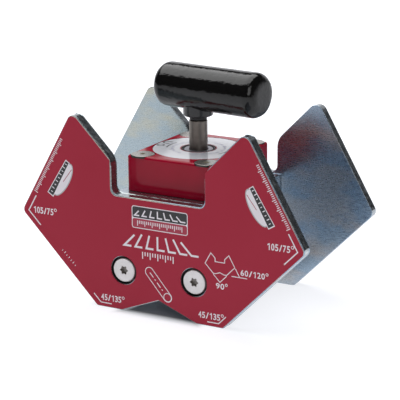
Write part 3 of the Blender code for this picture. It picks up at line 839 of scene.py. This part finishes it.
def oval_badges(prints):
    """Pale oval with a black gauge bar across it and a thin red radius line."""
    for side in (-1, 1):
        centre, direction = (67.8, 78.6), 121
        prints.area("grey", mirrored(ellipse(centre, 12.4, 4.9, direction), side), 1)
        prints.area("white", mirrored(ellipse(centre, 11.7, 4.2, direction), side), 2)
        rim = ((-14.2, -0.4), (12.4, -1.2), (12.4, -4.6), (-14.2, -5.4))
        bar = ((-13.5, -0.9), (11.8, -1.7), (11.8, -4.1), (-13.5, -4.9))
        for ink, level, corners in (("white", 3, rim), ("black", 4, bar)):
            outline = [along(centre, direction, u, v) for u, v in corners]
            prints.area(ink, mirrored(outline, side), level)
        for k in range(9):
            tick = [along(centre, direction, -11.6 + 2.7 * k, v) for v in (-2.3, -4.2 if k % 2 else -3.6)]
            prints.stroke("white", mirrored(tick, side), 0.55, level=5)
        line = [along(centre, direction, u, v) for u, v in ((-1.0, 0.8), (9.6, 2.0))]
        prints.stroke("red", mirrored(line, side), 0.4, level=3)


def panel_outline(half_width, low, high, radius, centre_x=0.0):
    half_height = (high - low) / 2
    corners = box_corners(half_width, half_height, radius)
    return [(centre_x + p.x, (low + high) / 2 + p.y) for p in rounded_outline(corners, math.radians(15))]


OPENINGS = range(45, 136, 15)


def angle_chart(prints):
    """Two-row panel under the notch: angle signs above, a scale below."""
    prints.area("white", panel_outline(19.6, 54.9, 69.0, 1.6, 1.6), 1)
    prints.area("black", panel_outline(19.1, 61.6, 68.5, 1.2, 1.6), 2)
    prints.area("red", panel_outline(19.1, 55.4, 61.1, 1.2, 1.6), 2)
    for k, opening in enumerate(OPENINGS):
        corner = (-15.4 + 5.2 * k - 0.84 * math.cos(math.radians(opening)), 63.0)
        sign = [along(corner, opening, 4.2), corner, along(corner, 0, 3.3)]
        prints.stroke("white", sign, 0.85, level=3)
    for k in range(25):
        u = -14.0 + 1.3 * k
        prints.stroke("white", [(u, 59.9), (u, 56.6 if k % 4 == 0 else 57.9)], 0.55, level=3)


def angle_signs(prints):
    """Row of large angle signs, and the small scale under it."""
    for k, opening in enumerate(OPENINGS):
        corner = (-22.9 + 7.6 * k - 1.2 * math.cos(math.radians(opening)), 43.0)
        slant = 8.3 / max(0.8, math.sin(math.radians(opening)))
        sign = [along(corner, opening, slant), corner, along(corner, 0, 5.0)]
        prints.stroke("white", sign, 1.25)
    for k in range(13):
        u = -10.8 + 1.8 * k
        prints.stroke("white", [(u, 40.4), (u, 36.0 if k % 3 == 0 else 37.9)], 0.7)


def pipe_sign(prints):
    """Pipe seen from its side and, at the lower end, from its end."""
    upper, lower, radius = Vector((-6.1, 28.3)), Vector((6.5, 13.8)), 2.9
    direction = math.degrees(math.atan2(lower.y - upper.y, lower.x - upper.x))
    points = [along(lower, direction + turn, radius) for turn in range(-90, 91, 12)]
    points += [along(upper, direction + turn, radius) for turn in range(90, 271, 12)]
    prints.stroke("white", points, 0.5, True)
    prints.circle("white", lower, radius - 0.25, 0.5, 2)
    length = (lower - upper).length
    for start, end in ((0.5, 4.2), (5.6, 6.6), (8.0, 11.7), (13.1, 14.1)):
        dash = [along(upper, direction, min(start, length)), along(upper, direction, min(end, length))]
        prints.stroke("white", dash, 0.6)


def outline_sign(prints):
    """Small outline of the holder with its 90 and 60 degree corners."""
    scale, centre_x, foot_z = 0.101, 43.05, 34.4
    sharp = {kind: 0.0 for kind in PLATE_RADII}
    outline = [(centre_x + scale * x, foot_z + scale * z) for x, z, _r in plate_corners(sharp)]
    prints.stroke("white", outline, 0.5, True)
    foot = scale * (HALF_WIDTH - SIDE_CORNER_Z)
    below = foot_z - 0.5
    point = [(centre_x - foot, below), (centre_x, below - foot), (centre_x + foot, below)]
    prints.stroke("white", point, 0.5)
    side = (centre_x + scale * HALF_WIDTH + 0.4, foot_z + scale * SIDE_CORNER_Z - 0.5)
    prints.stroke("white", [side, (side[0] + 2.7, foot_z + 0.3)], 0.5)
    prints.stroke("white", [(50.9, foot_z), (61.5, foot_z)], 0.5)
    degree_mark(prints, "60/120", (66.1, 37.6), 18.4, 3.7)
    degree_mark(prints, "90", (44.1, 26.9), 7.9, 3.6)


def small_ticks(prints):
    """Short row of ticks by the left lower edge."""
    for k in range(7):
        base = along((-70.0, 32.4), -43, 2.1 * k)
        prints.stroke("white", [base, along(base, 47, 1.5 if k % 2 else 1.0)], 0.4)


def make_label_prints(end, turn_round):
    low = -(LABEL_FACE_Y - PRINT_THICK)
    prints = Prints(f"{end}_print", flat_along_y, low, -PRINT_THICK / 5)
    corner_marks(prints)
    edge_scales(prints)
    oval_badges(prints)
    angle_chart(prints)
    angle_signs(prints)
    pipe_sign(prints)
    outline_sign(prints)
    small_ticks(prints)
    prints.finish("base", "label_vinyl", turn_round)


# ---------------------------------------------------------------- body


def make_pole_housing():
    """Ground steel body between the plates, bored for the magnets."""
    low, high = sizes("pole_housing")
    bm = bmesh.new()
    outline = rounded_outline(box_corners(high.x, high.y, POLE_ROUND + 0.6))
    add_prism(bm, outline, low.z, high.z, flat_along_z)
    body = edge_round(new_object("pole_body", bm, "pole_steel"), POLE_ROUND, 5)
    carve(body, [turned_cutter([(BORE_R, BORE_FLOOR_Z), (BORE_R, high.z + 1)])])
    return finished(body, "base", "pole_housing")


def top_screw_places():
    places = []
    for i in range(4):
        low, high = sizes(f"top_screw_{i + 1}")
        places.append(((low.x + high.x) / 2, (low.y + high.y) / 2))
    return places


def make_top_housing():
    """Enamelled block with a sharp lower edge."""
    low, high = sizes("top_housing")
    bm = bmesh.new()
    outline = rounded_outline(box_corners(high.x, high.y, BLOCK_ROUND + 0.6))
    add_prism(bm, outline, low.z - 2 * BLOCK_ROUND, high.z, flat_along_z)
    block = edge_round(new_object("top_block", bm, "red_paint"), BLOCK_ROUND, 6)
    above, below = high.z + 1, low.z - 1
    recess = high.z - LABEL_RECESS_DEEP
    seat = high.z - BEARING_SEAT_DEEP
    bore = [
        (BUSH_R + GAP, below),
        (BUSH_R + GAP, seat),
        (BEARING_SEAT_R, seat),
        (BEARING_SEAT_R, recess),
        (LABEL_RECESS_R, recess),
        (LABEL_RECESS_R, above),
    ]
    shelf = high.z - TOP_SCREW_SEAT_DEEP
    hole = [
        (TOP_SCREW_SHANK_R + GAP, below),
        (TOP_SCREW_SHANK_R + GAP, shelf),
        (TOP_SCREW_SEAT_R, shelf),
        (TOP_SCREW_SEAT_R, above),
    ]
    bm = bmesh.new()
    add_prism(bm, box_outline(2 * high.x, 2 * high.y), low.z - 3 * BLOCK_ROUND, low.z, flat_along_z)
    carve(block, [new_cutter(bm), turned_cutter(bore)])
    carve(block, [turned_cutter(hole, 64, place) for place in top_screw_places()])
    return finished(block, "base", "top_housing")


def make_top_screw(i, place):
    """Faced low head, dark in its socket, with painted shade on its side where its seat lies in shadow."""
    low, high = sizes(f"top_screw_{i + 1}")
    under = high.z - TOP_SCREW_HEAD_THICK
    radius = (high.x - low.x) / 2
    profile = [
        (TOP_SCREW_SHANK_R - 0.6, low.z),
        (TOP_SCREW_SHANK_R, low.z + 0.6),
        (TOP_SCREW_SHANK_R, under),
        (radius, under),
        *arc(radius - 0.35, high.z - 0.35, 0.35, 0, 90, 5),
    ]
    bm = bmesh.new()
    add_turned(bm, profile, 72)
    bm.normal_update()
    # Side faces get the second finish, near-black: painted shade round the head in its seat.
    for face in bm.faces:
        face.material_index = 1 if abs(face.normal.z) < 0.5 else 0
    finishes = ("screw_face", "screw_side_painted_shade", "screw_socket")
    screw = new_object(f"block_screw_{i + 1}", bm, *finishes)
    socket = socket_cutter(TOP_SCREW_SOCKET_R, TOP_SCREW_SOCKET_DEEP, finishes)
    socket.location = Vector((0, 0, high.z)) * MM
    bpy.context.view_layer.update()
    carve(screw, [socket])
    screw.data.transform(Matrix.Translation(Vector((*place, 0)) * MM))
    return finished(screw, "base", f"top_screw_{i + 1}")


def make_bearing():
    """Bush and dust seal round the stem."""
    low, high = sizes("stem_bush")
    radius = (high.x - low.x) / 2
    seat = high.z - BUSH_FLANGE_THICK
    inner = STEM_R + 0.25
    bush = [
        (inner, low.z),
        (BUSH_R, low.z),
        (BUSH_R, seat),
        (radius, seat),
        *arc(radius - 0.5, high.z - 0.5, 0.5, 0, 90, 4),
        *arc(inner + 0.6, high.z - 0.6, 0.6, 90, 180, 4),
    ]
    finished(turned_ring("bearing_bush", bush, "bush_face"), "base", "stem_bush")

    low, high = sizes("dust_seal")
    outer = (high.x - low.x) / 2
    seal = [
        (SEAL_INNER_R, low.z),
        (outer, low.z),
        *arc(outer - 0.3, high.z - 0.3, 0.3, 0, 90, 3),
        *arc(SEAL_INNER_R + 0.3, high.z - 0.3, 0.3, 90, 180, 3),
    ]
    finished(turned_ring("seal_ring", seal, "black_rubber"), "base", "dust_seal")


def make_top_label():
    low, high = sizes("top_label")
    outer, top = (high.x - low.x) / 2, high.z - PRINT_THICK
    sheet = [
        (TOP_LABEL_HOLE_R, low.z),
        (outer - 0.1, low.z),
        (outer, top - 0.1),
        (outer - 0.1, top),
        (TOP_LABEL_HOLE_R, top),
    ]
    finished(turned_ring("top_label_disc", sheet, "white_label", 144), "base", "top_label")
    make_top_label_prints(top)


def make_top_label_prints(top):
    """Red ring, pale turning arrows, and plain marks for the two ends of the handle's turn."""
    prints = Prints("top_print", flat_along_z, top, PRINT_THICK / 5)
    middle = (0, 0)
    prints.circle("red", middle, TOP_LABEL_HOLE_R + 0.35, 0.6, 2, 96)
    for start in (-78, 96):
        for k in range(9):
            first = start + 18.5 * k
            points = [along(middle, first + turn, 16.4) for turn in (0, 3.5, 7, 10.5, 14)]
            prints.stroke("pale", points, 1.1)
    for turn in (36, 216):
        tips = ((5, 14.6), (5, 18.4), (-6, 16.5))
        prints.area("pale", [along(middle, turn + ahead, radius) for ahead, radius in tips], 2)
    for side in (-1, 1):
        points = [along(middle, 90 - side * (90 + turn), 20.0) for turn in range(-17, 24, 4)]
        prints.stroke("black", points, 0.9)
    bend = [along((-25.0, 3.6), turn, 2.2) for turn in range(-90, -271, -20)]
    prints.stroke("black", [(-21.9, 1.4), *bend, (-21.9, 5.8)], 1.3)
    for v in (1.4, 5.8):
        prints.stroke("pale", [(-21.8, v), (-20.9, v)], 1.3)
    prints.circle("black", (-24.8, -4.2), 2.1, 1.0)
    prints.circle("black", (24.6, 0.0), 2.3, 0.9)
    prints.finish("base", "white_label")


# ---------------------------------------------------------------- handle


def make_stem():
    """Turned stem with a square end in the drive cap."""
    low, high = sizes("handle_stem")
    flange_low = BLOCK_LOW_Z + GAP
    flange_high = flange_low + STEM_FLANGE_THICK
    profile = [
        (STEM_R, low.z + STEM_SQUARE_LONG),
        (STEM_R, flange_low),
        (STEM_FLANGE_R, flange_low),
        (STEM_FLANGE_R, flange_high),
        (STEM_R, flange_high),
        (STEM_R, STEM_SHOULDER_Z - 0.6),
        (STEM_R - 0.2, STEM_SHOULDER_Z - 0.15),
        (STEM_R - 0.6, STEM_SHOULDER_Z),
        (STEM_THREAD_R, STEM_SHOULDER_Z),
        (STEM_THREAD_R, high.z - 0.6),
        (STEM_THREAD_R - 0.6, high.z),
    ]
    bm = bmesh.new()
    add_turned(bm, profile)
    square = box_outline(STEM_SQUARE_HALF, STEM_SQUARE_HALF)
    add_prism(bm, square, low.z, low.z + STEM_SQUARE_LONG - 0.02, flat_along_z)
    stem = new_object("stem", bm, "stem_steel")
    stem.data.transform(Matrix.Rotation(REST_ANGLE, 4, "Z"))
    return finished(stem, "rotor", "handle_stem")


def make_spacer_and_collar():
    low, high = sizes("stem_spacer")
    radius = (high.x - low.x) / 2
    inner = STEM_THREAD_R + GAP
    ring = [
        (inner, low.z),
        *arc(radius - 0.4, low.z + 0.4, 0.4, -90, 0, 3),
        *arc(radius - 0.4, high.z - 0.4, 0.4, 0, 90, 3),
        (inner, high.z),
    ]
    # The black ring under the collar is painted shade: it stands where the stem's neck lies in shadow.
    finished(turned_ring("neck_ring_painted_shade", ring, "black_rubber"), "rotor", "stem_spacer")

    low, high = sizes("handle_collar")
    radius = (high.x - low.x) / 2
    collar = [
        (inner, low.z),
        (radius - 1.3, low.z),
        *arc(radius - 1.1, low.z + 1.1, 1.1, -80, 0, 6),
        (radius, COLLAR_TOP_Z),
        (inner, COLLAR_TOP_Z),
    ]
    piece = turned_ring("collar", collar, "black_enamel")
    saddle = turned_cutter([(GRIP_R + 0.12, -GRIP_LENGTH / 2), (GRIP_R + 0.12, GRIP_LENGTH / 2)])
    saddle.data.transform(handle_place())
    carve(piece, [saddle])
    return finished(piece, "rotor", "handle_collar")


def handle_place():
    """Turns a piece made on the Z axis so that it lies along the handle at rest."""
    turn = Matrix.Rotation(math.pi / 2, 4, "Y")
    lie = Matrix.Translation(Vector((GRIP_OFFSET, 0, HANDLE_AXIS_Z)) * MM) @ turn
    return Matrix.Rotation(REST_ANGLE, 4, "Z") @ lie


def grip_profile():
    """(radius, place along the bar) from the middle of one end to the middle of the other."""
    half = GRIP_LENGTH / 2
    flat = GRIP_R - GRIP_END_ROUND
    end = [(flat * k / 6, -half) for k in range(1, 6)]
    end += arc(flat, -half + GRIP_END_ROUND, GRIP_END_ROUND, -90, 0, 14)
    rows = 64
    straight = GRIP_LENGTH - 2 * GRIP_END_ROUND
    body = [(GRIP_R, -straight / 2 + straight * k / rows) for k in range(1, rows)]
    return [*end, *body, *[(radius, -height) for radius, height in reversed(end)]]


def make_grip():
    """Dipped grip with a lightly crinkled skin."""
    bm = bmesh.new()
    add_turned(bm, grip_profile(), 144)
    bm.normal_update()
    for vert in bm.verts:
        spot = vert.co / MM
        swell = noise.noise(spot / 9.0) + 0.5 * noise.noise(spot / 3.2)
        depth = 0.05 + 0.05 * swell
        if math.hypot(spot.x, spot.y) > GRIP_R - GRIP_END_ROUND:
            vert.co *= 1 - depth / GRIP_R
    grip = new_object("grip", bm, "black_vinyl")
    grip.matrix_world = handle_place()
    core_r, core_half = GRIP_R - GRIP_WALL, GRIP_LENGTH / 2 - GRIP_WALL
    core = [
        (core_r - 1, -core_half),
        (core_r, -core_half + 1),
        (core_r, core_half - 1),
        (core_r - 1, core_half),
    ]
    hollow = turned_cutter(core, 48)
    hollow.data.transform(handle_place())
    thread_r = STEM_THREAD_R + GAP
    thread = turned_cutter([(thread_r, STEM_SHOULDER_Z), (thread_r, HANDLE_AXIS_Z)], 48)
    carve(grip, [hollow, thread])
    return finished(grip, "rotor", "handle_grip", 60)


# ---------------------------------------------------------------- studio


def make_floor():
    """Pale floor with painted light: it glows all round the holder, more towards the back, and the glow is
    off under the holder as a painted shadow.
    """
    bm = bmesh.new()
    bmesh.ops.create_grid(bm, x_segments=8, y_segments=8, size=6.0)
    floor = new_object("floor", bm)
    n = Nodes("pale_floor_painted_light")
    past_x = n.ranged(n.maths("ABSOLUTE", n.coordinate("X"), 0.0), FOOT_X, FOOT_X + FOOT_FADE)
    past_y = n.ranged(n.maths("ABSOLUTE", n.coordinate("Y"), 0.0), FOOT_Y, FOOT_Y + FOOT_FADE)
    # Painted shadow: no glow under the holder, fading in past its feet.
    clear = n.maths("MAXIMUM", past_x, past_y)
    # Painted light: the glow grows towards the back.
    painted_light = n.ranged(n.coordinate("Y"), 0.1, 0.8, FLOOR_PAINTED_LIGHT, FLOOR_PAINTED_LIGHT + FAR_PAINTED_LIGHT)
    n.set(Base_Color=(0.37, 0.38, 0.41), Roughness=0.9, Specular_IOR_Level=0.1)
    n.set(Emission_Color=(0.97, 0.975, 1.0), Emission_Strength=n.maths("MULTIPLY", clear, painted_light))
    floor.data.materials.append(n.owner)
    return floor


def make_backdrop():
    """White dome that only the camera sees."""
    bm = bmesh.new()
    bmesh.ops.create_uvsphere(bm, u_segments=48, v_segments=24, radius=5.5)
    dome = new_object("backdrop", bm)
    n = Nodes("backdrop_white")
    n.set(Base_Color=(0.0, 0.0, 0.0), Emission_Color=(1.0, 1.0, 1.0), Emission_Strength=1.05)
    n.set(Roughness=1.0, Specular_IOR_Level=0.0)
    dome.data.materials.append(n.owner)
    dome.visible_diffuse = False
    dome.visible_glossy = False
    dome.visible_shadow = False
    dome.visible_transmission = False
    return dome


def make_area_light(name, place, target, size, energy, colour=(1.0, 1.0, 1.0)):
    data = bpy.data.lights.new(name, "AREA")
    data.shape = "RECTANGLE"
    data.size, data.size_y = size
    data.energy = energy
    data.color = colour
    light = bpy.data.objects.new(name, data)
    light.location = place
    light.rotation_euler = (Vector(target) - Vector(place)).to_track_quat("-Z", "Y").to_euler()
    bpy.context.scene.collection.objects.link(light)
    return light


def make_world():
    """Dark room with a pale wall low down behind and to the left."""
    n = Nodes("studio", world=True)
    behind = n.ramp("Y", 0.0, 0.4, 0.0, WALL_LIGHT)
    wall = n.maths("MULTIPLY", behind, n.ramp("X", 0.05, 0.42, 1.0, 0.0))
    wall = n.maths("MULTIPLY", wall, n.ramp("Z", 0.44, 0.50, 1.0, 0.0))
    n.set(Color=(0.97, 0.97, 1.0), Strength=n.maths("ADD", wall, ROOM_LIGHT))
    bpy.context.scene.world = n.owner


def make_camera():
    right = Vector((math.cos(YAW), math.sin(YAW), 0.0))
    back = Vector((math.sin(YAW) * math.cos(PITCH), -math.cos(YAW) * math.cos(PITCH), math.sin(PITCH)))
    up = back.cross(right)
    x_axis = right * math.cos(ROLL) + up * math.sin(ROLL)
    y_axis = up * math.cos(ROLL) - right * math.sin(ROLL)
    data = bpy.data.cameras.new("camera")
    data.lens = LENS_MM
    data.clip_start, data.clip_end = 0.01, 20.0
    camera = bpy.data.objects.new("camera", data)
    turn = Matrix((x_axis, y_axis, back)).transposed().to_4x4()
    camera.matrix_world = Matrix.Translation(CAMERA_M) @ turn
    bpy.context.scene.collection.objects.link(camera)
    bpy.context.scene.camera = camera


def make_studio():
    make_floor()
    make_backdrop()
    make_world()
    make_area_light("overhead", (-0.48, 0.16, 1.25), (-0.48, 0.16, 0.0), (1.65, 1.56), 26.0)
    make_area_light("front_right", (0.88, -1.06, 0.85), (0.0, 0.0, 0.1), (0.6, 1.0), 4.0)
    bpy.context.scene.view_settings.view_transform = "Standard"


# ---------------------------------------------------------------- finishes


# Colour, roughness, metallic, grain scale and bump
PLAIN_FINISHES = {
    # Painted shade: near-black for the plate screw seats, where the gap round each head lies in shadow.
    "seat_painted_shade": ((0.012, 0.018, 0.018), 0.5, 0.0, 700.0),
    "label_edge": ((0.62, 0.58, 0.54), 0.5),
    # Painted shade: a darker brown inside the plate screw sockets.
    "socket_painted_shade": ((0.30, 0.275, 0.26), 0.45, 0.4),
    "screw_socket": ((0.50, 0.46, 0.38), 0.45, 0.5),
    # Painted shade: near-black on the block screw sides, standing in for the shadow in their seats.
    "screw_side_painted_shade": ((0.05, 0.048, 0.045), 0.4, 0.6),
    "screw_face": ((0.36, 0.345, 0.325), 0.28, 0.9, 1400.0),
    "magnet": ((0.30, 0.30, 0.31), 0.35, 1.0),
    "brass": ((0.68, 0.50, 0.20), 0.35, 1.0),
    "bush_face": ((0.30, 0.295, 0.335), 0.4, 0.8, 1200.0),
    "cap_alloy": ((0.60, 0.61, 0.62), 0.4, 1.0),
    "hard_steel": ((0.50, 0.50, 0.50), 0.2, 1.0),
    "washer_nylon": ((0.80, 0.79, 0.74), 0.5),
    # Black rubber for the dust seal. On the ring under the collar, the same black is painted shade.
    "black_rubber": ((0.02, 0.02, 0.02), 0.6),
    "white_label": ((0.66, 0.67, 0.72), 0.12, 0.0, 60.0, 0.02),
    "black_enamel": ((0.012, 0.012, 0.013), 0.2),
}
INKS = {
    "ink_white": (0.78, 0.74, 0.78),
    "ink_black": (0.02, 0.02, 0.022),
    "ink_grey": (0.42, 0.42, 0.44),
    "ink_red": (0.36, 0.02, 0.05),
    "ink_pale": (0.38, 0.38, 0.48),
}


def make_looks():
    makers = (zinc_face, zinc_cut, label_vinyl, screw_steel, pole_steel, red_paint, stem_steel, black_vinyl)
    made = {maker.__name__: maker() for maker in makers}
    made |= {name: plain(name, *values) for name, values in PLAIN_FINISHES.items()}
    made |= {name: ink(name, colour) for name, colour in INKS.items()}
    return made


def dress_inner_nodes():
    """The CAD nodes inside the holder keep their shape and get a finish."""
    for entry in frame["record"]["subparts"]:
        node = frame["nodes"][entry["node"]]
        if node.hide_render:
            continue
        node.data.materials.clear()
        node.data.materials.append(looks[entry["material_slot"]])


make_studio()
make_camera()
looks = make_looks()
for end, sign in (("front", -1), ("back", 1)):
    make_plate(end, sign)
    make_label(end, sign)
    make_label_prints(end, end == "back")
    for side, (x, z) in zip(("left", "right"), screw_places()):
        make_plate_screw(end, side, sign, x, z)
make_pole_housing()
make_top_housing()
for i, place in enumerate(top_screw_places()):
    make_top_screw(i, place)
make_bearing()
make_top_label()
make_stem()
make_spacer_and_collar()
make_grip()
dress_inner_nodes()
